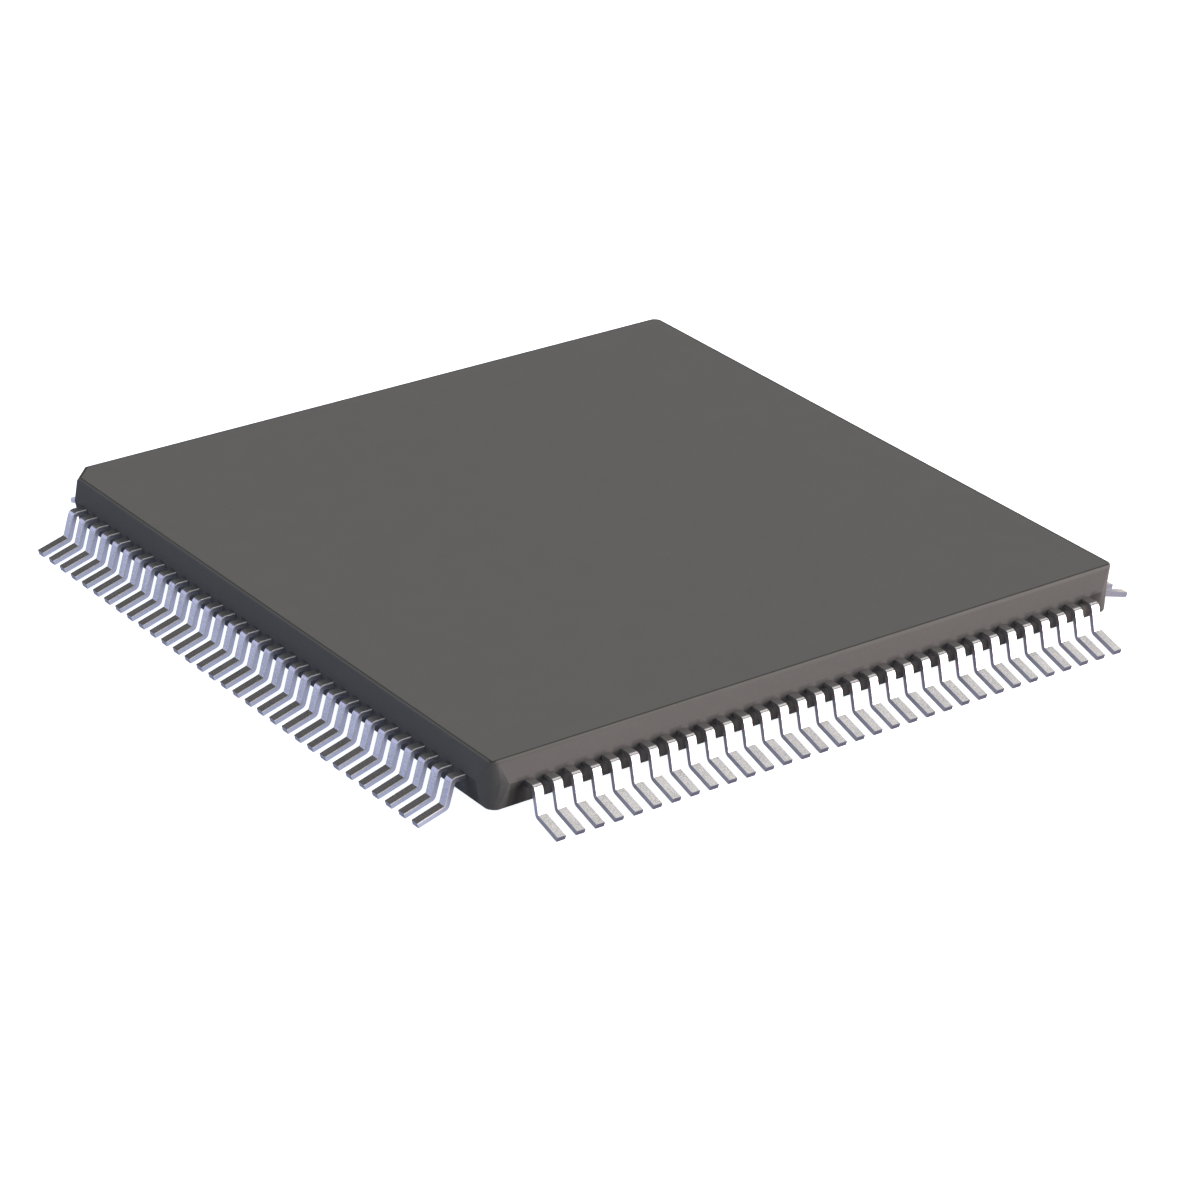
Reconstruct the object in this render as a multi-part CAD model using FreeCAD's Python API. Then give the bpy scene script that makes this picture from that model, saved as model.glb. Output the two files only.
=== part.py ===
import FreeCAD, Part
import math
import os

# Quad flat pack with 128 gull-wing leads, in millimetres, +Z up.
# The origin is the centre of the seating plane, which the toes of all leads touch at z = 0.
# The chamfered body corner, beside pin 1, is at -X +Y, and the pins run counter-clockwise seen from above.

# Lead rows
LEADS_PER_SIDE = 32
LEADS_PER_NODE = 8
PITCH = 0.40
ROW_END_MARGIN = 0.80         # centre of a row's last lead to the body's edge at the parting line

# Moulded body: two drafted halves that meet at the parting line
STANDOFF = 0.25               # seating plane to the underside
LOWER_HALF = 0.515            # underside to the parting line
UPPER_HALF = 0.445            # parting line to the top
LOWER_DRAFT = 12.0            # degrees
UPPER_DRAFT = 7.0             # degrees
PARTING_CORNER_RADIUS = 0.40
TOP_CORNER_RADIUS = 0.14
BOTTOM_CORNER_RADIUS = 0.16
PARTING_CHAMFER = 0.41        # leg of the pin 1 chamfer
TOP_CHAMFER = 0.36
BOTTOM_CHAMFER = 0.36
EDGE_RADIUS = 0.06            # rounding of the top and bottom edges
RIM_FLATS = 2                 # flats that make up that rounding

# Gull-wing lead
LEAD_WIDTH = 0.18
LEAD_THICKNESS = 0.095
LEAD_BELOW_PARTING = 0.02     # parting line to the top of the shoulders
SHOULDER = 0.272              # body's edge to the sharp corner of the shoulder bend
LEAD_REACH = 0.93             # body's edge to the toe's contact line
RISER_LEAN = 15.0             # degrees out from upright
FOOT_TILT = 16.4              # degrees that the foot falls towards the toe
BEND_RADIUS = 0.115           # on the outside of each bend

# Lead frame inside the body
ANCHOR = 0.40                 # straight part of a lead inside the body's edge
FINGER_LENGTH = 2.30          # from the anchor in towards the pad
FINGER_TIP_WIDTH = 0.12
PAD_GAP = 0.50                # finger tips to the die pad
PAD_DOWNSET = 0.15            # leads to the die pad, downwards
TIE_BAR_WIDTH = 0.24
TIE_BAR_RAMP = 0.30           # run of the slope that takes up the downset
TIE_BAR_COVER = 0.45          # mould compound left over each tie bar's outer end

# Die
DIE_MARGIN = 1.20             # pad's edge to the die's edge
DIE_ATTACH_THICKNESS = 0.02
DIE_THICKNESS = 0.25

# Worked-out sizes
ROW_HALF = PITCH * (LEADS_PER_SIDE - 1) / 2
PARTING_HALF = ROW_HALF + ROW_END_MARGIN
TOP_HALF = PARTING_HALF - UPPER_HALF * math.tan(math.radians(UPPER_DRAFT))
BOTTOM_HALF = PARTING_HALF - LOWER_HALF * math.tan(math.radians(LOWER_DRAFT))
PARTING_Z = STANDOFF + LOWER_HALF
TOP_Z = PARTING_Z + UPPER_HALF
SHOULDER_Z = PARTING_Z - LEAD_BELOW_PARTING
ANCHOR_R = PARTING_HALF - ANCHOR
FINGER_TIP_R = ANCHOR_R - FINGER_LENGTH
PAD_HALF = FINGER_TIP_R - PAD_GAP
PAD_TOP_Z = SHOULDER_Z - PAD_DOWNSET
DIE_HALF = PAD_HALF - DIE_MARGIN


def body_outline(half, corner_radius, chamfer, z):
    """One closed outline of the body: three round corners, and the pin 1 chamfer at -X +Y."""
    flat = half - corner_radius
    bulge = corner_radius * math.sqrt(0.5)

    def corner(sx, sy, start, end):
        middle = FreeCAD.Vector(sx * (flat + bulge), sy * (flat + bulge), z)
        return Part.Arc(start, middle, end).toShape()

    chamfer_n = FreeCAD.Vector(-half + chamfer, half, z)
    chamfer_w = FreeCAD.Vector(-half, half - chamfer, z)
    west_s = FreeCAD.Vector(-half, -flat, z)
    south_w = FreeCAD.Vector(-flat, -half, z)
    south_e = FreeCAD.Vector(flat, -half, z)
    east_s = FreeCAD.Vector(half, -flat, z)
    east_n = FreeCAD.Vector(half, flat, z)
    north_e = FreeCAD.Vector(flat, half, z)
    return Part.Wire([
        Part.makeLine(chamfer_n, chamfer_w),
        Part.makeLine(chamfer_w, west_s),
        corner(-1, -1, west_s, south_w),
        Part.makeLine(south_w, south_e),
        corner(1, -1, south_e, east_s),
        Part.makeLine(east_s, east_n),
        corner(1, 1, east_n, north_e),
        Part.makeLine(north_e, chamfer_n),
    ])


def rim(half, corner_radius, chamfer, face_z, draft, up):
    """Outlines that round the rim of the top (up = 1) or underside (up = -1), from the wall to the flat face."""
    lean = math.radians(draft)
    tangent = EDGE_RADIUS / math.tan(math.pi / 4 + lean / 2)
    outlines = []
    for step in range(RIM_FLATS + 1):
        angle = lean + (math.pi / 2 - lean) * step / RIM_FLATS
        inset = tangent - EDGE_RADIUS * math.cos(angle)
        leg = chamfer - inset * (2 - math.sqrt(2))
        z = face_z - up * EDGE_RADIUS * (1 - math.sin(angle))
        outlines.append(body_outline(half - inset, corner_radius - inset, leg, z))
    return outlines


def body_blank():
    """The moulding before the leads and the die are cut out of it, lofted through its outlines."""
    lower = rim(BOTTOM_HALF, BOTTOM_CORNER_RADIUS, BOTTOM_CHAMFER, STANDOFF, LOWER_DRAFT, -1)
    parting = body_outline(PARTING_HALF, PARTING_CORNER_RADIUS, PARTING_CHAMFER, PARTING_Z)
    upper = rim(TOP_HALF, TOP_CORNER_RADIUS, TOP_CHAMFER, TOP_Z, UPPER_DRAFT, 1)
    return Part.makeLoft(lower[::-1] + [parting] + upper, True, True)


def mitre(corner, normal_a, normal_b, thickness):
    """The corner on a strip's other face, one thickness in along both runs' normals."""
    return corner + (normal_a + normal_b) * (thickness / (1 + normal_a.dot(normal_b)))


def rounded(before, corner, after, radius):
    """Start, middle and end of the arc that rounds the corner between two runs."""
    back = (before - corner).normalize()
    ahead = (after - corner).normalize()
    half_angle = back.getAngle(ahead) / 2
    tangent = radius / math.tan(half_angle)
    to_centre = (back + ahead).normalize()
    middle = corner + to_centre * (radius / math.sin(half_angle) - radius)
    return corner + back * tangent, middle, corner + ahead * tangent


def meet(point_a, along_a, point_b, along_b):
    """Where two lines in the XZ plane cross."""
    cross = along_a.x * along_b.z - along_a.z * along_b.x
    apart = point_b - point_a
    return point_a + along_a * ((apart.x * along_b.z - apart.z * along_b.x) / cross)


def lead_profile():
    """Side view of a lead in the XZ plane, X outwards from the body's centre: shoulder, riser and foot."""
    lean = math.radians(RISER_LEAN)
    tilt = math.radians(FOOT_TILT)
    down_riser = FreeCAD.Vector(math.sin(lean), 0, -math.cos(lean))
    up_foot = FreeCAD.Vector(-math.cos(tilt), 0, math.sin(tilt))
    under_shoulder = FreeCAD.Vector(0, 0, -1)
    behind_riser = FreeCAD.Vector(-math.cos(lean), 0, -math.sin(lean))
    under_foot = FreeCAD.Vector(-math.sin(tilt), 0, -math.cos(tilt))

    inner_top = FreeCAD.Vector(ANCHOR_R, 0, SHOULDER_Z)
    inner_bottom = inner_top + under_shoulder * LEAD_THICKNESS
    bend_top = FreeCAD.Vector(PARTING_HALF + SHOULDER, 0, SHOULDER_Z)
    toe_bottom = FreeCAD.Vector(PARTING_HALF + LEAD_REACH, 0, 0)
    toe_top = toe_bottom - under_foot * LEAD_THICKNESS
    heel_top = meet(bend_top, down_riser, toe_top, up_foot)
    bend_bottom = mitre(bend_top, under_shoulder, behind_riser, LEAD_THICKNESS)
    heel_bottom = mitre(heel_top, behind_riser, under_foot, LEAD_THICKNESS)

    # The shoulder's rounding is an arc. The heel's, which faces the board, is two flats through the arc's points.
    shoulder = rounded(inner_top, bend_top, heel_top, BEND_RADIUS)
    heel = rounded(toe_bottom, heel_bottom, bend_bottom, BEND_RADIUS)
    under_side = Part.makePolygon([
        shoulder[2], heel_top, toe_top, toe_bottom, *heel, bend_bottom, inner_bottom, inner_top, shoulder[0],
    ])
    return Part.Face(Part.Wire([Part.Arc(*shoulder).toShape()] + under_side.Edges))


def lead_finger(offset):
    """The tapered finger inside the body, which slants in towards the die pad."""
    tip_offset = offset * (ROW_HALF - FINGER_LENGTH) / ROW_HALF
    z = SHOULDER_Z - LEAD_THICKNESS
    plan = Part.makePolygon([
        FreeCAD.Vector(ANCHOR_R, offset - LEAD_WIDTH / 2, z),
        FreeCAD.Vector(ANCHOR_R, offset + LEAD_WIDTH / 2, z),
        FreeCAD.Vector(FINGER_TIP_R, tip_offset + FINGER_TIP_WIDTH / 2, z),
        FreeCAD.Vector(FINGER_TIP_R, tip_offset - FINGER_TIP_WIDTH / 2, z),
        FreeCAD.Vector(ANCHOR_R, offset - LEAD_WIDTH / 2, z),
    ])
    return Part.Face(plan).extrude(FreeCAD.Vector(0, 0, LEAD_THICKNESS))


def row_of_leads(turn):
    """The leads of one side in pin order, made on the +X side and turned into place."""
    formed = lead_profile().extrude(FreeCAD.Vector(0, LEAD_WIDTH, 0))
    leads = []
    for number in range(LEADS_PER_SIDE):
        offset = PITCH * number - ROW_HALF
        outer = formed.translated(FreeCAD.Vector(0, offset - LEAD_WIDTH / 2, 0))
        lead = outer.fuse(lead_finger(offset)).removeSplitter()
        lead.rotate(FreeCAD.Vector(0, 0, 0), FreeCAD.Vector(0, 0, 1), turn)
        leads.append(lead.Solids[0])
    return leads


def tie_bar(turn):
    """A diagonal strip from the die pad up to the lead plane, ending short of the body's corner."""
    corner_reach = PARTING_HALF * math.sqrt(2) - PARTING_CHAMFER / math.sqrt(2)
    outer_end = corner_reach - TIE_BAR_COVER
    ramp_start = PAD_HALF * math.sqrt(2) + TIE_BAR_RAMP
    ramp_end = ramp_start + TIE_BAR_RAMP
    upper = [
        FreeCAD.Vector(0, 0, PAD_TOP_Z),
        FreeCAD.Vector(ramp_start, 0, PAD_TOP_Z),
        FreeCAD.Vector(ramp_end, 0, SHOULDER_Z),
        FreeCAD.Vector(outer_end, 0, SHOULDER_Z),
    ]
    below = FreeCAD.Vector(0, 0, -1)
    slope = (upper[2] - upper[1]).normalize()
    below_slope = FreeCAD.Vector(slope.z, 0, -slope.x)
    lower = [
        upper[3] + below * LEAD_THICKNESS,
        mitre(upper[2], below, below_slope, LEAD_THICKNESS),
        mitre(upper[1], below, below_slope, LEAD_THICKNESS),
        upper[0] + below * LEAD_THICKNESS,
    ]
    strip = Part.Face(Part.makePolygon(upper + lower + upper[:1])).extrude(FreeCAD.Vector(0, TIE_BAR_WIDTH, 0))
    strip.translate(FreeCAD.Vector(0, -TIE_BAR_WIDTH / 2, 0))
    strip.rotate(FreeCAD.Vector(0, 0, 0), FreeCAD.Vector(0, 0, 1), turn)
    return strip


def centred_plate(half, z, thickness):
    """A square plate about the Z axis with its underside at z."""
    return Part.makeBox(2 * half, 2 * half, thickness, FreeCAD.Vector(-half, -half, z))


def die_pad():
    """The pad that carries the die, in one piece with its four tie bars."""
    pad = centred_plate(PAD_HALF, PAD_TOP_Z - LEAD_THICKNESS, LEAD_THICKNESS)
    bars = [tie_bar(turn) for turn in (45, 135, 225, 315)]
    return pad.fuse(bars).removeSplitter()


def main():
    os.makedirs("parts", exist_ok=True)
    leads = []
    for turn in (180, 270, 0, 90):
        leads += row_of_leads(turn)
    pad = die_pad()
    attach = centred_plate(DIE_HALF, PAD_TOP_Z, DIE_ATTACH_THICKNESS)
    die = centred_plate(DIE_HALF, PAD_TOP_Z + DIE_ATTACH_THICKNESS, DIE_THICKNESS)
    body = body_blank().cut(leads + [pad, attach, die])

    body.exportStep("parts/package_body.step")
    pad.exportStep("parts/die_pad.step")
    attach.exportStep("parts/die_attach.step")
    die.exportStep("parts/silicon_die.step")
    for first in range(0, len(leads), LEADS_PER_NODE):
        group = leads[first:first + LEADS_PER_NODE]
        name = f"leads_{first + 1:03d}_{first + len(group):03d}"
        Part.makeCompound(group).exportStep(f"parts/{name}.step")


main()
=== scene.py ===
import bpy
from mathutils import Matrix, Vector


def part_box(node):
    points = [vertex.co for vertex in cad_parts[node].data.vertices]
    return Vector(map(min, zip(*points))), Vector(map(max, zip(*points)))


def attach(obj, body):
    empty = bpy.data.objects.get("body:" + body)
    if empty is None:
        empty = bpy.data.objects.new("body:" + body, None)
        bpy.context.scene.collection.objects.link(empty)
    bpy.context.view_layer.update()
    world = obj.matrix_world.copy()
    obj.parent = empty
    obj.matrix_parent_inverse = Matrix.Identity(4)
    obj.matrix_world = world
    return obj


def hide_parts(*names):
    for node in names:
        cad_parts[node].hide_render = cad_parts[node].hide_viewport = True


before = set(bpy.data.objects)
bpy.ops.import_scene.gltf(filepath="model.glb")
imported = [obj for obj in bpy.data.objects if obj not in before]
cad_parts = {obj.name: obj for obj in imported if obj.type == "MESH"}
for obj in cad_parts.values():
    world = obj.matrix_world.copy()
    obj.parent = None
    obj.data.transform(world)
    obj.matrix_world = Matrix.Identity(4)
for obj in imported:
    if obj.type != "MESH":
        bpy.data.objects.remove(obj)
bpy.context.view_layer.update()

import bpy
import math
from mathutils import Matrix, Vector

MM = 0.001

# Points nearer than this are one point, in metres
SAME_PLACE = 1e-7

# Body, in millimetres
BODY_LOW, BODY_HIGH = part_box("package_body")
BODY_HALF = BODY_HIGH.x / MM
BODY_BOTTOM_Z = BODY_LOW.z / MM
BODY_TOP_Z = BODY_HIGH.z / MM
PARTING_Z = 0.765
TOP_INSET = 0.068
BOTTOM_INSET = 0.096
PARTING_CORNER = 0.40
TOP_CORNER = 0.14
BOTTOM_CORNER = 0.16
PARTING_CHAMFER = 0.46
END_CHAMFER = 0.39
RIM_RADIUS = 0.055
RIM_STEPS = 5
CORNER_STEPS = 4
CORNER_FULLNESS = 0.40          # 0.25 is a flat corner and 0.5 a round one
WALL_EDGE_RISE = 0.1            # the least rise of an edge between a wall and a corner
WALL_EDGE_ASIDE = 0.09          # and how much its ends' x and y differ at least, signs aside
BODY_CREASE = 25.0              # degrees: edges that turn more than this stay sharp

# Leads, in millimetres and degrees
LEADS_PER_SIDE = 32
LEADS_PER_NODE = 8
PITCH = 0.40
ROW_HALF = PITCH * (LEADS_PER_SIDE - 1) / 2
LEAD_WIDTH = 0.18
LEAD_THICKNESS = 0.095
SHOULDER_TOP_Z = 0.745
ROOT_R = BODY_HALF - 0.40
SHOULDER_CORNER_R = BODY_HALF + 0.272
TOE_R = BODY_HALF + 0.93
RISER_TURN = 75.0
FOOT_TILT = 16.4
BEND_RADIUS = 0.115
BEND_STEPS = 5
EDGE_CHAMFER = 0.013
LEAD_CREASE = 24.0

# Parts of a lead by the normals of their faces
FACES_UP = 0.2                  # the least rise of an upper face's normal
FACES_ALONG = 0.99              # the least share of a normal that lies along a direction
FACES_ASLANT = 0.5              # the least share of the chamfer's normal that lies sideways

# Material slots of a lead
PLATED_SLOT = 0
SIDE_SLOT = 1
END_SLOT = 2
EDGE_SLOT = 3
SHOULDER_SLOT = 4

# Sockets of the node that mixes colours, by number because several have the same name
MIX_MASK = 0
MIX_FIRST = 6
MIX_SECOND = 7
MIX_RESULT = 2

# Grain: the mask's values where the colour is darkest and lightest, and what the grain is made of
GRAIN_DARKEST = 0.35
GRAIN_LIGHTEST = 0.65
FINE_GRAIN_DETAIL = 3.0
BROAD_GRAIN_DETAIL = 2.0
BROAD_GRAIN_SCALE = 0.05        # as a share of the fine grain's scale
BROAD_GRAIN_SHARE = 0.3
METAL_GRAIN = 40000             # specks a metre

# Moulding compound
COMPOUND_DARK = (0.0925, 0.0965, 0.0900)
COMPOUND_LIGHT = (0.1025, 0.1065, 0.1000)
COMPOUND_GRAIN = 30000
COMPOUND_BUMP = 8e-7            # metres
COMPOUND_SMOOTHEST = 0.70
COMPOUND_ROUGHEST = 0.86
COMPOUND_SPECULAR = 0.3

# Marks of painted shade on the walls over the leads, as the leads' shadows, in millimetres
EXIT_SHADE_TINT = (0.60, 0.62, 0.63)
EXIT_SHADE_HEIGHT = 0.10         # above the leads, where a mark ends
EXIT_SHADE_FULL = 0.03           # above the leads, where it starts to fade
EXIT_SHADE_CORE = 0.45           # the share of its half width that is at full strength
EXIT_SHADE_SHIFT = 0.14          # towards -X, from the middle of a lead

# Painted shade under the parting line past the ends of the rows: where it starts, and where it has its full
# strength
ROW_END_SHADE_TINT = (0.60, 0.57, 0.52)
SHADE_UNDER_PARTING = (PARTING_Z + 0.01, PARTING_Z - 0.02)
SHADE_BEFORE_CORNER = (BODY_HALF - PARTING_CORNER + 0.02, BODY_HALF - PARTING_CORNER - 0.05)
SHADE_PAST_ROW = (ROW_HALF - 0.05, ROW_HALF + 0.15)

# A fine dark line round the top face, and painted light on the rim outside it, in millimetres
DARK_LINE_TINT = (0.30, 0.30, 0.29)
DARK_LINE_WIDTH = 0.024
DARK_LINE_CORE = 0.3         # the share of its half width that is at full strength
DARK_LINE_LEVEL = BODY_TOP_Z - 0.4 * RIM_RADIUS
# painted light: the rim band outside the line is made lighter
RIM_LIGHT_TINT = (1.14, 1.14, 1.12)

# Camera, fitted to the photograph: angles in degrees, lens, sensor and distances in millimetres
CAMERA_AZIMUTH = -37.06
CAMERA_ELEVATION = 26.22
CAMERA_ROLL = 1.68
CAMERA_LENS = 132.567
CAMERA_SENSOR = 36.0
CAMERA_OFFSET = (0.348, -0.4565, 82.196)
CAMERA_NEAREST = 1.0
CAMERA_FARTHEST = 20000.0

# Floor and world
FLOOR_SIZE = 2.0                # metres
FLOOR_COLOUR = (0.67, 0.70, 0.76)
FLOOR_SEEN = (0.94, 0.97, 1.00)
FLOOR_IN_METAL = (0.20, 0.22, 0.28)
FLOOR_GLOW_LEFT = (0.50, 0.55, 0.79)
FLOOR_GLOW_RIGHT = (0.17, 0.175, 0.25)
FLOOR_GLOW_CHANGE = 1.0         # millimetres each side of the diagonal, where one glow turns into the other
WORLD_COLOUR = (0.172, 0.166, 0.167)


def deselect():
    if bpy.context.object and bpy.context.object.mode != "OBJECT":
        bpy.ops.object.mode_set(mode="OBJECT")
    bpy.ops.object.select_all(action="DESELECT")


def make_active(obj):
    deselect()
    obj.select_set(True)
    bpy.context.view_layer.objects.active = obj


def select_where(obj, kind, test):
    """Selects the vertices, edges or faces of an object in edit mode that pass a test on their place."""
    bpy.ops.mesh.select_mode(type=kind)
    bpy.ops.mesh.select_all(action="DESELECT")
    bpy.ops.object.mode_set(mode="OBJECT")
    mesh = obj.data
    if kind == "VERT":
        for vertex in mesh.vertices:
            vertex.select = test(vertex.co)
    elif kind == "EDGE":
        for edge in mesh.edges:
            edge.select = test(*[mesh.vertices[i].co for i in edge.vertices])
    else:
        for face in mesh.polygons:
            face.select = test(face.center, face.normal)
    bpy.ops.object.mode_set(mode="EDIT")


def at_height(point, z):
    return abs(point.z - z * MM) < SAME_PLACE


def outline_ring(half, corner, chamfer, z):
    """A square ring of edges with three round corners and one chamfered one."""
    deselect()
    bpy.ops.mesh.primitive_plane_add(size=2 * half * MM, location=(0, 0, z * MM))
    ring = bpy.context.object
    bpy.ops.object.transform_apply(location=True, rotation=True, scale=True)
    bpy.ops.object.mode_set(mode="EDIT")
    select_where(ring, "VERT", lambda point: point.x > 0 or point.y < 0)
    bpy.ops.mesh.bevel(
        offset=corner * MM, segments=CORNER_STEPS, profile=CORNER_FULLNESS, affect="VERTICES"
    )
    select_where(ring, "VERT", lambda point: point.x < 0 and point.y > 0)
    bpy.ops.mesh.bevel(offset=chamfer * MM, segments=1, affect="VERTICES")
    bpy.ops.mesh.select_all(action="SELECT")
    bpy.ops.mesh.delete(type="ONLY_FACE")
    bpy.ops.object.mode_set(mode="OBJECT")
    return ring


def bridge_rings(obj, low_z, high_z):
    select_where(obj, "VERT", lambda point: at_height(point, low_z) or at_height(point, high_z))
    bpy.ops.mesh.bridge_edge_loops()


def borders_wall(a, b):
    """True for the parting line, and for the slanting edges between a flat wall and a corner."""
    on_parting = at_height(a, PARTING_Z) and at_height(b, PARTING_Z)
    rises = abs(a.z - b.z) > WALL_EDGE_RISE * MM
    beside_wall = min(abs(abs(end.x) - abs(end.y)) for end in (a, b)) > WALL_EDGE_ASIDE * MM
    return on_parting or (rises and beside_wall)


def hold_flats_flat(obj):
    """Lets the large faces set the shading, so flats stay flat beside their rounded edges."""
    make_active(obj)
    modifier = obj.modifiers.new("flat_faces", "WEIGHTED_NORMAL")
    modifier.keep_sharp = True
    bpy.ops.object.modifier_apply(modifier=modifier.name)


def make_body():
    """The moulding: three outlines bridged into two drafted halves, closed, with rounded rims."""
    bottom = outline_ring(BODY_HALF - BOTTOM_INSET, BOTTOM_CORNER, END_CHAMFER, BODY_BOTTOM_Z)
    parting = outline_ring(BODY_HALF, PARTING_CORNER, PARTING_CHAMFER, PARTING_Z)
    top = outline_ring(BODY_HALF - TOP_INSET, TOP_CORNER, END_CHAMFER, BODY_TOP_Z)
    deselect()
    for ring in (bottom, parting, top):
        ring.select_set(True)
    bpy.context.view_layer.objects.active = bottom
    bpy.ops.object.join()
    body = bottom
    body.name = "moulded_body"
    bpy.ops.object.mode_set(mode="EDIT")
    bridge_rings(body, BODY_BOTTOM_Z, PARTING_Z)
    bridge_rings(body, PARTING_Z, BODY_TOP_Z)
    for z in (BODY_BOTTOM_Z, BODY_TOP_Z):
        select_where(body, "VERT", lambda point: at_height(point, z))
        bpy.ops.mesh.edge_face_add()
    bpy.ops.mesh.select_all(action="SELECT")
    bpy.ops.mesh.normals_make_consistent(inside=False)
    for z in (BODY_BOTTOM_Z, BODY_TOP_Z):
        select_where(body, "EDGE", lambda a, b: at_height(a, z) and at_height(b, z))
        bpy.ops.mesh.bevel(
            offset=RIM_RADIUS * MM, segments=RIM_STEPS, affect="EDGES", clamp_overlap=False
        )
    bpy.ops.object.mode_set(mode="OBJECT")
    bpy.ops.object.shade_smooth_by_angle(angle=math.radians(BODY_CREASE))
    bpy.ops.object.mode_set(mode="EDIT")
    select_where(body, "EDGE", borders_wall)
    bpy.ops.mesh.mark_sharp()
    bpy.ops.object.mode_set(mode="OBJECT")
    hold_flats_flat(body)
    return body


def strip_normal(turned):
    """The outward normal of a strip's upper face once it has turned down by so many degrees."""
    angle = math.radians(turned)
    return Vector((math.sin(angle), 0, math.cos(angle)))


def strip_direction(turned):
    """The direction in which a strip runs once it has turned down by so many degrees."""
    angle = math.radians(turned)
    return Vector((math.cos(angle), 0, -math.sin(angle)))


def run_on(turned, length):
    """Runs the strip straight on for a length."""
    step = strip_direction(turned) * length * MM
    bpy.ops.mesh.extrude_region_move(TRANSFORM_OT_translate={"value": step})


def bend(centre, turn, steps):
    """Bends the strip about a centre. A turn below 0 bends it down."""
    bpy.ops.mesh.spin(steps=steps, angle=math.radians(turn), center=centre * MM, axis=(0, 1, 0))


def chamfer_left_edge(lead):
    """Chamfers the left-hand edge of the lead's upper faces."""
    select_where(lead, "FACE", lambda centre, normal: normal.z > FACES_UP)
    bpy.ops.mesh.region_to_loop()
    bpy.ops.object.mode_set(mode="OBJECT")
    for edge in lead.data.edges:
        start, end = [lead.data.vertices[i].co for i in edge.vertices]
        edge.select = edge.select and min(start.y, end.y) > 0
    bpy.ops.object.mode_set(mode="EDIT")
    bpy.ops.mesh.bevel(offset=EDGE_CHAMFER * MM, segments=1, affect="EDGES")
    bpy.ops.object.mode_set(mode="OBJECT")


def set_lead_slots(lead):
    """Tells the sheared sides, cut end, chamfered edge with its painted highlight, and the shoulder top,
    painted shade, from the rest of the plating.
    """
    foot = strip_direction(FOOT_TILT)
    for face in lead.data.polygons:
        if abs(face.normal.y) > FACES_ALONG:
            face.material_index = SIDE_SLOT
        elif face.normal.dot(foot) > FACES_ALONG:
            face.material_index = END_SLOT
        elif face.normal.y > FACES_ASLANT:
            face.material_index = EDGE_SLOT
        elif face.normal.z > FACES_ALONG:
            face.material_index = SHOULDER_SLOT
        else:
            face.material_index = PLATED_SLOT


def lead_bends():
    """The centres of a lead's two bends and the lengths of its three straight runs, in millimetres."""
    down = strip_direction(RISER_TURN)
    foot = strip_direction(FOOT_TILT)
    shoulder_corner = Vector((SHOULDER_CORNER_R, 0, SHOULDER_TOP_Z))
    toe_top = Vector((TOE_R, 0, 0)) + strip_normal(FOOT_TILT) * LEAD_THICKNESS
    gap = toe_top - shoulder_corner
    cross = down.x * foot.z - down.z * foot.x
    riser_length = (gap.x * foot.z - gap.z * foot.x) / cross
    heel_corner = shoulder_corner + down * riser_length
    foot_length = (toe_top - heel_corner).length

    inside = BEND_RADIUS - LEAD_THICKNESS
    shoulder_tangent = BEND_RADIUS * math.tan(math.radians(RISER_TURN) / 2)
    heel_tangent = inside * math.tan(math.radians(RISER_TURN - FOOT_TILT) / 2)
    shoulder_start = shoulder_corner - strip_direction(0) * shoulder_tangent
    heel_start = heel_corner - down * heel_tangent
    shoulder_centre = shoulder_start - strip_normal(0) * BEND_RADIUS
    heel_centre = heel_start + strip_normal(RISER_TURN) * inside
    runs = (
        shoulder_start.x - ROOT_R,
        riser_length - shoulder_tangent - heel_tangent,
        foot_length - heel_tangent,
    )
    return shoulder_centre, heel_centre, runs


def make_lead():
    """One gull-wing lead on the +X side at y = 0: a strip run out, bent down, run, bent up and run."""
    shoulder_centre, heel_centre, runs = lead_bends()
    deselect()
    bpy.ops.mesh.primitive_plane_add(size=1, rotation=(0, math.radians(90), 0))
    lead = bpy.context.object
    lead.name = "formed_lead"
    lead.scale = (LEAD_THICKNESS * MM, LEAD_WIDTH * MM, 1)
    lead.location = Vector((ROOT_R, 0, SHOULDER_TOP_Z - LEAD_THICKNESS / 2)) * MM
    bpy.ops.object.transform_apply(location=True, rotation=True, scale=True)
    bpy.ops.object.mode_set(mode="EDIT")
    bpy.ops.mesh.select_all(action="SELECT")
    run_on(0, runs[0])
    bend(shoulder_centre, -RISER_TURN, BEND_STEPS)
    run_on(RISER_TURN, runs[1])
    bend(heel_centre, RISER_TURN - FOOT_TILT, BEND_STEPS - 1)
    run_on(FOOT_TILT, runs[2])
    bpy.ops.mesh.select_all(action="SELECT")
    bpy.ops.mesh.remove_doubles(threshold=SAME_PLACE)
    bpy.ops.mesh.normals_make_consistent(inside=False)
    chamfer_left_edge(lead)
    bpy.ops.object.shade_smooth_by_angle(angle=math.radians(LEAD_CREASE))
    hold_flats_flat(lead)
    set_lead_slots(lead)
    return lead


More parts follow.
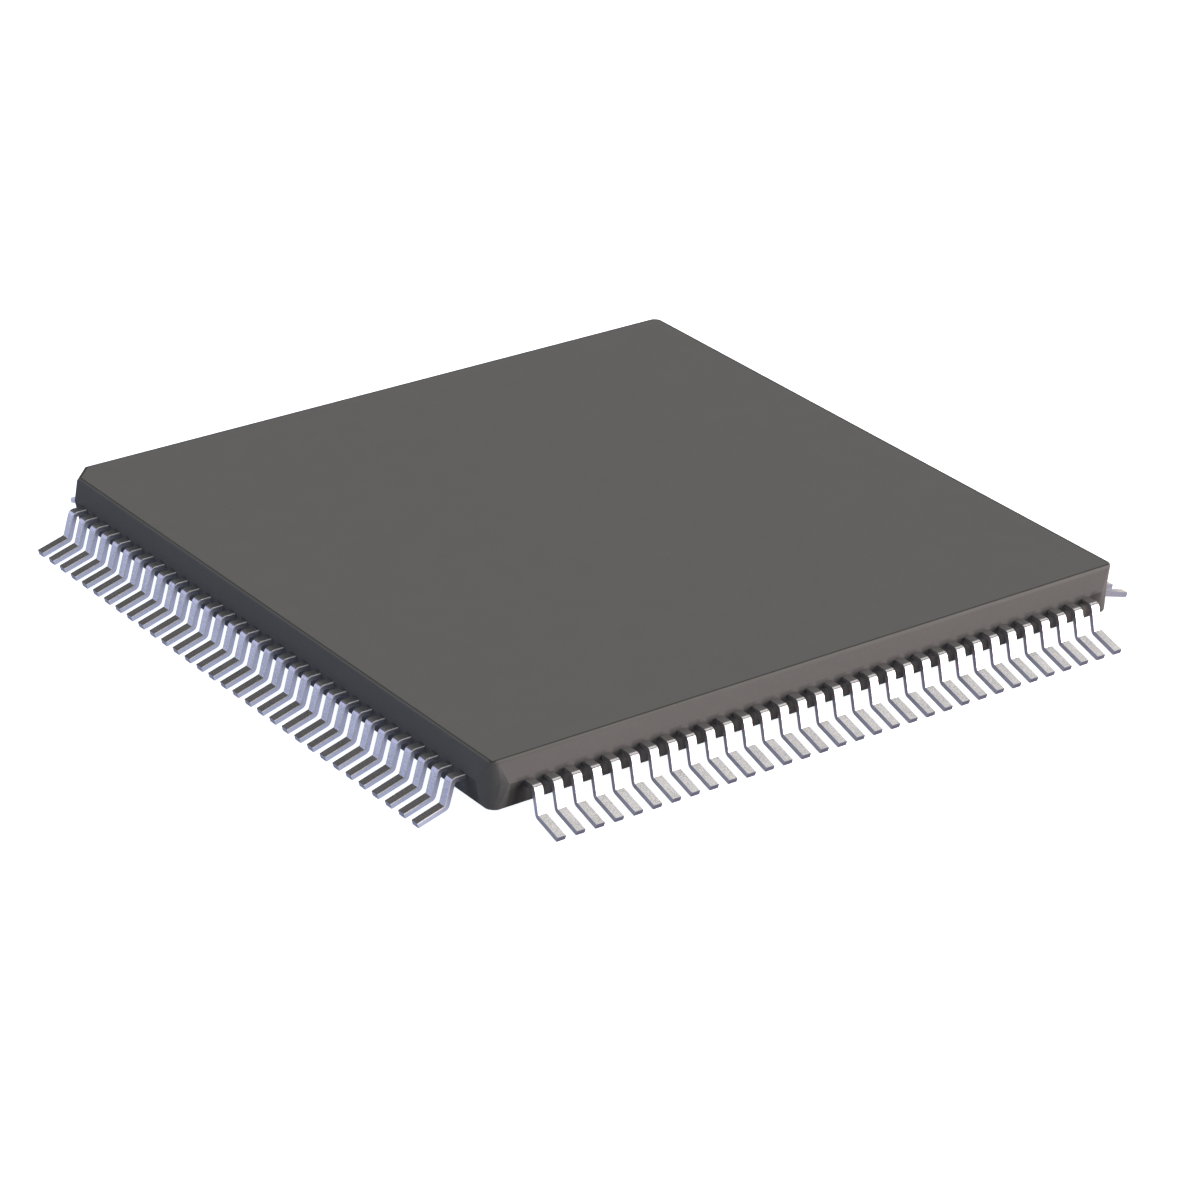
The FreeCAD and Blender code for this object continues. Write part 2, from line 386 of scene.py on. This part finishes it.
def make_lead_rows(lead):
    """All the leads, eight to a piece, each piece in the place of its CAD node, from the -X side round."""
    rows = []
    rows_per_side = LEADS_PER_SIDE // LEADS_PER_NODE
    for group in range(4 * rows_per_side):
        side, part = divmod(group, rows_per_side)
        make_active(lead)
        bpy.ops.object.duplicate()
        row = bpy.context.object
        first = group * LEADS_PER_NODE + 1
        numbers = f"{first:03d}_{first + LEADS_PER_NODE - 1:03d}"
        row.name = f"plated_leads_{numbers}"
        row.location = (0, (part * LEADS_PER_NODE * PITCH - ROW_HALF) * MM, 0)
        bpy.ops.object.transform_apply(location=True, rotation=False, scale=False)
        array = row.modifiers.new("row", "ARRAY")
        array.count = LEADS_PER_NODE
        array.use_relative_offset = False
        array.use_constant_offset = True
        array.constant_offset_displace = (0, PITCH * MM, 0)
        bpy.ops.object.modifier_apply(modifier=array.name)
        row.rotation_euler = (0, 0, math.radians(180 + 90 * side))
        bpy.ops.object.transform_apply(location=False, rotation=True, scale=False)
        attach(row, "root")
        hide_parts(f"leads_{numbers}")
        rows.append(row)
    bpy.data.objects.remove(lead)
    return rows


def new_group(name, inputs, outputs):
    """An empty node group with its sockets, and its input and output nodes."""
    group = bpy.data.node_groups.new(name, "ShaderNodeTree")
    for label, value in inputs.items():
        socket = group.interface.new_socket(name=label, in_out="INPUT", socket_type="NodeSocketFloat")
        socket.default_value = value
    for label, kind in outputs.items():
        group.interface.new_socket(name=label, in_out="OUTPUT", socket_type=kind)
    return group, group.nodes.new("NodeGroupInput").outputs, group.nodes.new("NodeGroupOutput").inputs


def feed(tree, socket, value):
    """Gives an input socket a number, a colour or the value of an output socket."""
    if isinstance(value, (int, float)):
        socket.default_value = value
    elif isinstance(value, tuple):
        socket.default_value = (*value, 1)
    else:
        tree.links.new(value, socket)


def join_math(tree, operation, *values):
    """A math node fed by sockets or numbers. Returns its output."""
    node = tree.nodes.new("ShaderNodeMath")
    node.operation = operation
    for socket, value in zip(node.inputs, values):
        feed(tree, socket, value)
    return node.outputs["Value"]


def multiply(tree, first, *others):
    """The product of two or more sockets or numbers."""
    for other in others:
        first = join_math(tree, "MULTIPLY", first, other)
    return first


def ease(tree, value, low, high):
    """A smooth step from 0 at low to 1 at high. The order may be reversed."""
    node = tree.nodes.new("ShaderNodeMapRange")
    node.interpolation_type = "SMOOTHSTEP"
    for label, given in (("Value", value), ("From Min", low), ("From Max", high)):
        feed(tree, node.inputs[label], given)
    return node.outputs["Result"]


def object_axes(tree):
    """X, Y and Z in the object's own coordinates, in metres."""
    place = tree.nodes.new("ShaderNodeTexCoord")
    axes = tree.nodes.new("ShaderNodeSeparateXYZ")
    tree.links.new(place.outputs["Object"], axes.inputs["Vector"])
    return axes.outputs["X"], axes.outputs["Y"], axes.outputs["Z"]


def speckle(tree, scale, detail):
    place = tree.nodes.new("ShaderNodeTexCoord")
    noise = tree.nodes.new("ShaderNodeTexNoise")
    noise.inputs["Detail"].default_value = detail
    tree.links.new(place.outputs["Object"], noise.inputs["Vector"])
    tree.links.new(scale, noise.inputs["Scale"])
    return noise.outputs["Fac"]


def grain_group():
    """Fine grain: a mask that mixes two sizes of speckle, and a normal bumped by the fine one."""
    group, given, made = new_group(
        "fine_grain",
        {"Scale": 1000.0, "Distance": 2e-6},
        {"Mask": "NodeSocketFloat", "Normal": "NodeSocketVector"},
    )
    fine = speckle(group, given["Scale"], FINE_GRAIN_DETAIL)
    broad = speckle(group, multiply(group, given["Scale"], BROAD_GRAIN_SCALE), BROAD_GRAIN_DETAIL)
    fine_part = multiply(group, fine, 1 - BROAD_GRAIN_SHARE)
    mixed = join_math(group, "MULTIPLY_ADD", broad, BROAD_GRAIN_SHARE, fine_part)
    bump = group.nodes.new("ShaderNodeBump")
    group.links.new(fine, bump.inputs["Height"])
    group.links.new(given["Distance"], bump.inputs["Distance"])
    group.links.new(mixed, made["Mask"])
    group.links.new(bump.outputs["Normal"], made["Normal"])
    return group


def painted_shade_group():
    """Masks of painted shade: shadows over the leads on the two end walls, and shade under the parting line
    past all the rows.
    """
    group, given, made = new_group(
        "painted_lead_shade",
        {
            "Pitch": PITCH * MM,
            "Row Half": ROW_HALF * MM,
            "Foot": SHOULDER_TOP_Z * MM,
            "Height": EXIT_SHADE_HEIGHT * MM,
            "Width": LEAD_WIDTH * MM,
            "Shift": EXIT_SHADE_SHIFT * MM,
        },
        {"Over": "NodeSocketFloat", "Past": "NodeSocketFloat"},
    )
    x, y, z = object_axes(group)
    from_x = join_math(group, "ABSOLUTE", x)
    from_y = join_math(group, "ABSOLUTE", y)
    along = join_math(group, "MINIMUM", from_x, from_y)
    on_end = join_math(group, "LESS_THAN", from_x, from_y)

    shifted = join_math(group, "ADD", x, given["Shift"])
    turns = join_math(group, "FRACT", join_math(group, "DIVIDE", shifted, given["Pitch"]))
    aside = join_math(group, "ABSOLUTE", join_math(group, "SUBTRACT", turns, 0.5))
    offset = multiply(group, aside, given["Pitch"])
    near = ease(group, offset, given["Width"], multiply(group, given["Width"], EXIT_SHADE_CORE))
    top = join_math(group, "ADD", given["Foot"], given["Height"])
    low = ease(group, z, top, join_math(group, "ADD", given["Foot"], EXIT_SHADE_FULL * MM))
    last = join_math(group, "ADD", given["Row Half"], given["Width"])
    within = ease(group, along, join_math(group, "ADD", last, given["Width"]), last)
    group.links.new(multiply(group, near, low, within, on_end), made["Over"])

    under, before_corner, past_row = [
        ease(group, value, start * MM, full * MM)
        for value, (start, full) in (
            (z, SHADE_UNDER_PARTING),
            (along, SHADE_BEFORE_CORNER),
            (along, SHADE_PAST_ROW),
        )
    ]
    group.links.new(multiply(group, under, before_corner, past_row), made["Past"])
    return group


def dark_line_and_rim_light_group():
    """Masks of a fine dark line on the top face, a set distance in from its edges, and of the rim outside
    it, where light is painted.
    """
    group, given, made = new_group(
        "dark_line_and_rim_light",
        {"Half": 0.0, "Corner": 0.0, "Level": 0.0, "Width": 0.0},
        {"Line": "NodeSocketFloat", "Rim Light": "NodeSocketFloat"},
    )
    x, y, z = object_axes(group)
    outward = join_math(group, "MAXIMUM", join_math(group, "ABSOLUTE", x), join_math(group, "ABSOLUTE", y))
    from_sides = join_math(group, "SUBTRACT", given["Half"], outward)
    across = join_math(group, "SUBTRACT", y, x)
    to_corner = join_math(group, "SUBTRACT", given["Corner"], across)
    from_corner = multiply(group, to_corner, math.sqrt(0.5))
    inward = join_math(group, "MINIMUM", from_sides, from_corner)
    off_line = join_math(group, "ABSOLUTE", inward)
    line = ease(group, off_line, given["Width"], multiply(group, given["Width"], DARK_LINE_CORE))
    above = join_math(group, "GREATER_THAN", z, given["Level"])
    outside = join_math(group, "LESS_THAN", inward, 0.0)
    group.links.new(multiply(group, line, above), made["Line"])
    group.links.new(multiply(group, outside, above), made["Rim Light"])
    return group


def place_group(tree, group, **values):
    """A group's node in a material, with its input values."""
    node = tree.nodes.new("ShaderNodeGroup")
    node.node_tree = group
    for label, value in values.items():
        feed(tree, node.inputs[label], value)
    return node.outputs


def blend(tree, mask, where_0, where_1, kind="MIX"):
    """A colour that goes from one to another as the mask goes from 0 to 1."""
    mix = tree.nodes.new("ShaderNodeMix")
    mix.data_type = "RGBA"
    mix.blend_type = kind
    for socket, value in ((MIX_MASK, mask), (MIX_FIRST, where_0), (MIX_SECOND, where_1)):
        feed(tree, mix.inputs[socket], value)
    return mix.outputs[MIX_RESULT]


def tinted(tree, colour, mask, tint):
    """Multiplies a colour by a tint where the mask is 1."""
    return blend(tree, mask, colour, tint, kind="MULTIPLY")


def new_material(name):
    material = bpy.data.materials.new(name)
    material.use_nodes = True
    return material, material.node_tree, material.node_tree.nodes["Principled BSDF"]


def grain_colour(tree, mask, dark, light):
    """The grain's colour: a ramp over the values that its mask takes."""
    ramp = tree.nodes.new("ShaderNodeValToRGB")
    ramp.color_ramp.elements[0].position = GRAIN_DARKEST
    ramp.color_ramp.elements[0].color = (*dark, 1)
    ramp.color_ramp.elements[1].position = GRAIN_LIGHTEST
    ramp.color_ramp.elements[1].color = (*light, 1)
    tree.links.new(mask, ramp.inputs["Fac"])
    return ramp.outputs["Color"]


def grainy(name, grain, dark, light, scale, bump, roughness, metallic):
    """A material whose colour and surface vary with fine grain. The bump is in metres."""
    material, tree, shader = new_material(name)
    specks = place_group(tree, grain, Scale=scale, Distance=bump)
    tree.links.new(grain_colour(tree, specks["Mask"], dark, light), shader.inputs["Base Color"])
    tree.links.new(specks["Normal"], shader.inputs["Normal"])
    shader.inputs["Roughness"].default_value = roughness
    shader.inputs["Metallic"].default_value = metallic
    return material


def moulded(name, grain, shade_masks, dark_line_and_rim_light):
    """The moulding compound: fine matt grain, painted shade at the leads and past the rows, and on top a
    fine dark line and painted light on the rim.
    """
    material, tree, shader = new_material(name)
    specks = place_group(tree, grain, Scale=COMPOUND_GRAIN, Distance=COMPOUND_BUMP)
    colour = grain_colour(tree, specks["Mask"], COMPOUND_DARK, COMPOUND_LIGHT)
    painted_shade = place_group(tree, shade_masks)
    # painted shade: shadows over the leads, and shade under the parting line past the rows
    colour = tinted(tree, colour, painted_shade["Over"], EXIT_SHADE_TINT)
    colour = tinted(tree, colour, painted_shade["Past"], ROW_END_SHADE_TINT)
    top_half = BODY_HALF - TOP_INSET
    top = place_group(
        tree,
        dark_line_and_rim_light,
        Half=(top_half - RIM_RADIUS) * MM,
        Corner=(2 * top_half - END_CHAMFER - math.sqrt(2) * RIM_RADIUS) * MM,
        Level=DARK_LINE_LEVEL * MM,
        Width=DARK_LINE_WIDTH * MM,
    )
    # painted light on the rim band, and a fine dark line round the top face
    colour = tinted(tree, colour, top["Rim Light"], RIM_LIGHT_TINT)
    colour = tinted(tree, colour, top["Line"], DARK_LINE_TINT)
    tree.links.new(colour, shader.inputs["Base Color"])
    rough = tree.nodes.new("ShaderNodeMapRange")
    tree.links.new(specks["Mask"], rough.inputs["Value"])
    rough.inputs["To Min"].default_value = COMPOUND_SMOOTHEST
    rough.inputs["To Max"].default_value = COMPOUND_ROUGHEST
    tree.links.new(rough.outputs["Result"], shader.inputs["Roughness"])
    tree.links.new(specks["Normal"], shader.inputs["Normal"])
    shader.inputs["Specular IOR Level"].default_value = COMPOUND_SPECULAR
    return material


def paint(obj, *materials):
    """Gives an object its materials. Each face keeps its slot."""
    slots = [face.material_index for face in obj.data.polygons]
    obj.data.materials.clear()
    for material in materials:
        obj.data.materials.append(material)
    for face, slot in zip(obj.data.polygons, slots):
        face.material_index = slot


def make_camera():
    """The photograph's view: the camera's place is its offset along its own right, up and back axes."""
    azimuth = math.radians(CAMERA_AZIMUTH)
    elevation = math.radians(CAMERA_ELEVATION)
    roll = math.radians(CAMERA_ROLL)
    back = Vector((
        math.sin(azimuth) * math.cos(elevation),
        -math.cos(azimuth) * math.cos(elevation),
        math.sin(elevation),
    ))
    level_right = Vector((0, 0, 1)).cross(back).normalized()
    level_up = back.cross(level_right)
    right = level_right * math.cos(roll) + level_up * math.sin(roll)
    up = level_up * math.cos(roll) - level_right * math.sin(roll)
    place = (right * CAMERA_OFFSET[0] + up * CAMERA_OFFSET[1] + back * CAMERA_OFFSET[2]) * MM
    data = bpy.data.cameras.new("photo_view")
    data.sensor_width = CAMERA_SENSOR
    data.lens = CAMERA_LENS
    data.clip_start = CAMERA_NEAREST * MM
    data.clip_end = CAMERA_FARTHEST * MM
    camera = bpy.data.objects.new("photo_view", data)
    camera.matrix_world = Matrix.Translation(place) @ Matrix((right, up, back)).transposed().to_4x4()
    bpy.context.scene.collection.objects.link(camera)
    bpy.context.scene.camera = camera


def add_glow(tree, shader, seen, colour):
    """Adds light of its own to a shader for the rays that a mask picks."""
    glow = tree.nodes.new("ShaderNodeEmission")
    feed(tree, glow.inputs["Color"], colour)
    feed(tree, glow.inputs["Strength"], seen)
    both = tree.nodes.new("ShaderNodeAddShader")
    tree.links.new(shader, both.inputs[0])
    tree.links.new(glow.outputs["Emission"], both.inputs[1])
    return both.outputs["Shader"]


def make_floor():
    """A pale floor, almost white to the camera. Metal mirrors it dimmer, and brighter on its left."""
    deselect()
    bpy.ops.mesh.primitive_plane_add(size=FLOOR_SIZE, location=(0, 0, 0))
    floor = bpy.context.object
    floor.name = "floor"
    material = bpy.data.materials.new("pale_floor")
    material.use_nodes = True
    tree = material.node_tree
    tree.nodes.clear()
    out = tree.nodes.new("ShaderNodeOutputMaterial")
    ray = tree.nodes.new("ShaderNodeLightPath").outputs
    in_metal = join_math(tree, "MAXIMUM", ray["Is Glossy Ray"], ray["Is Transmission Ray"])
    matt = tree.nodes.new("ShaderNodeBsdfDiffuse")
    tree.links.new(blend(tree, in_metal, FLOOR_COLOUR, FLOOR_IN_METAL), matt.inputs["Color"])
    x, y, _ = object_axes(tree)
    rightward = join_math(tree, "SUBTRACT", x, y)
    to_left = ease(tree, rightward, FLOOR_GLOW_CHANGE * MM, -FLOOR_GLOW_CHANGE * MM)
    glow_in_metal = blend(tree, to_left, FLOOR_GLOW_RIGHT, FLOOR_GLOW_LEFT)
    shader = add_glow(tree, matt.outputs["BSDF"], ray["Is Camera Ray"], FLOOR_SEEN)
    shader = add_glow(tree, shader, in_metal, glow_in_metal)
    tree.links.new(shader, out.inputs["Surface"])
    floor.data.materials.append(material)


def make_world():
    world = bpy.data.worlds.new("dim_studio")
    world.use_nodes = True
    world.node_tree.nodes["Background"].inputs["Color"].default_value = (*WORLD_COLOUR, 1)
    bpy.context.scene.world = world


def softbox(name, direction, distance, size, brightness, colour):
    """An area lamp that faces the object, so many metres away. Its size is its width and height."""
    width, height = size
    data = bpy.data.lights.new(name, "AREA")
    data.shape = "RECTANGLE"
    data.size = width
    data.size_y = height
    data.energy = math.pi * width * height * brightness
    data.color = colour
    lamp = bpy.data.objects.new(name, data)
    towards = Vector(direction).normalized()
    lamp.location = towards * distance
    lamp.rotation_euler = towards.to_track_quat("Z", "Y").to_euler()
    bpy.context.scene.collection.objects.link(lamp)


# Materials
grain = grain_group()
compound = moulded("mould_compound", grain, painted_shade_group(), dark_line_and_rim_light_group())
plating = grainy(
    "tin_plating", grain, dark=(0.40, 0.40, 0.41), light=(0.65, 0.65, 0.65),
    scale=METAL_GRAIN, bump=8e-7, roughness=0.17, metallic=0.97,
)
sheared = grainy(
    "sheared_sides", grain, dark=(0.58, 0.57, 0.57), light=(0.68, 0.67, 0.67),
    scale=METAL_GRAIN, bump=6e-7, roughness=0.30, metallic=0.92,
)
cut_end = grainy(
    "cut_toe_ends", grain, dark=(0.25, 0.25, 0.28), light=(0.36, 0.36, 0.40),
    scale=METAL_GRAIN, bump=1e-6, roughness=0.5, metallic=1.0,
)
# painted highlight: the chamfered left-hand edges are a near-white, barely metallic copy of the plating
edge_highlight = grainy(
    "painted_edge_highlights", grain, dark=(0.84, 0.84, 0.86), light=(0.94, 0.94, 0.96),
    scale=METAL_GRAIN, bump=4e-7, roughness=0.30, metallic=0.10,
)
# painted shade: the shoulder tops are a darker, duller copy of the plating
shaded_shoulder = grainy(
    "shaded_shoulder_tops", grain, dark=(0.160, 0.162, 0.162), light=(0.205, 0.207, 0.207),
    scale=METAL_GRAIN, bump=1e-6, roughness=0.36, metallic=0.62,
)
copper = grainy(
    "bare_copper_alloy", grain, dark=(0.62, 0.30, 0.18), light=(0.72, 0.38, 0.24),
    scale=9000, bump=1e-6, roughness=0.35, metallic=1.0,
)
epoxy = grainy(
    "silver_epoxy", grain, dark=(0.40, 0.40, 0.38), light=(0.55, 0.55, 0.52),
    scale=20000, bump=1e-6, roughness=0.5, metallic=0.3,
)
silicon = grainy(
    "polished_silicon", grain, dark=(0.16, 0.17, 0.20), light=(0.20, 0.21, 0.25),
    scale=3000, bump=2e-7, roughness=0.15, metallic=0.8,
)

# Pieces
body = make_body()
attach(body, "root")
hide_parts("package_body")
paint(body, compound)
for row in make_lead_rows(make_lead()):
    paint(row, plating, sheared, cut_end, edge_highlight, shaded_shoulder)
for node, material in (("die_pad", copper), ("die_attach", epoxy), ("silicon_die", silicon)):
    paint(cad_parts[node], material)

# Studio
make_camera()
make_floor()
make_world()
softbox("key", (0.83, -0.52, 0.20), 0.90, (0.72, 0.38), brightness=10.8, colour=(1.0, 0.79, 0.80))
softbox("front", (0.56, -0.71, 0.42), 0.80, (0.45, 0.70), brightness=4.5, colour=(1.0, 0.90, 0.91))
softbox("overhead", (0.48, 0.25, 0.84), 1.00, (0.90, 0.80), brightness=0.95, colour=(1.0, 0.97, 0.935))
softbox("zenith", (0.05, -0.05, 1.00), 1.00, (0.50, 0.50), brightness=3.0, colour=(0.97, 1.0, 0.97))
softbox("cool_fill", (-0.72, 0.62, 0.34), 0.90, (1.10, 0.60), brightness=1.14, colour=(0.60, 0.63, 1.0))
softbox("low_back", (0.69, 0.72, 0.14), 0.90, (0.60, 0.24), brightness=1.25, colour=(1.0, 0.92, 0.74))

bpy.context.scene.view_settings.view_transform = "Standard"
